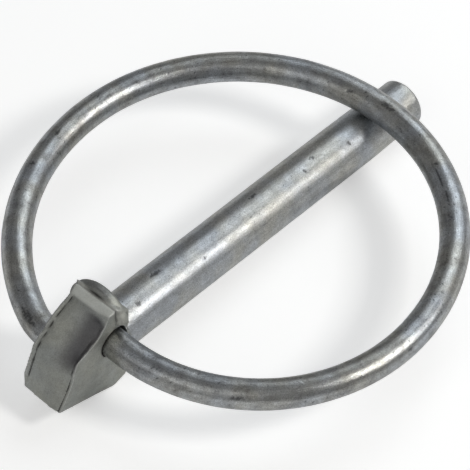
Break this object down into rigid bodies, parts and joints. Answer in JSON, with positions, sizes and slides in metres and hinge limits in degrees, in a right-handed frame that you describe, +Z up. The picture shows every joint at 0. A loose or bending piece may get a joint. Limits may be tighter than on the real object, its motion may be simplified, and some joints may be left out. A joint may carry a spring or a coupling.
{
  "type": "linch pin",
  "caption": "Round locking pin with a forged wedge-shaped head and a sprung wire ring that snaps over the tip to keep it in its hole.",
  "frame": {"origin": "on the shank's axis, where the shank leaves the back of the head", "axes": "+X runs towards the tip, level with the table, +Y to the left and +Z up; the shank itself dips 3.26 degrees towards its tip because the part lies on the head's underside and the tip"},
  "size_m": [0.0591, 0.0503, 0.0129],
  "materials": {
    "forged_pin": "satin zinc plate over a forged and drawn steel pin, with pits and die marks",
    "spring_wire": "dull mottled zinc plate over drawn spring wire"
  },
  "bodies": {
    "pin": {"pin": "forged_pin"},
    "ring": {"ring": "spring_wire"}
  },
  "joints": [
    {"name": "ring_swing", "type": "hinge", "parent": "pin", "child": "ring", "pos_m": [-0.00402, 0, 0.00177], "axis": [0, -1, 0], "range_deg": [0, 180], "deforming": ["ring"]}
  ]
}
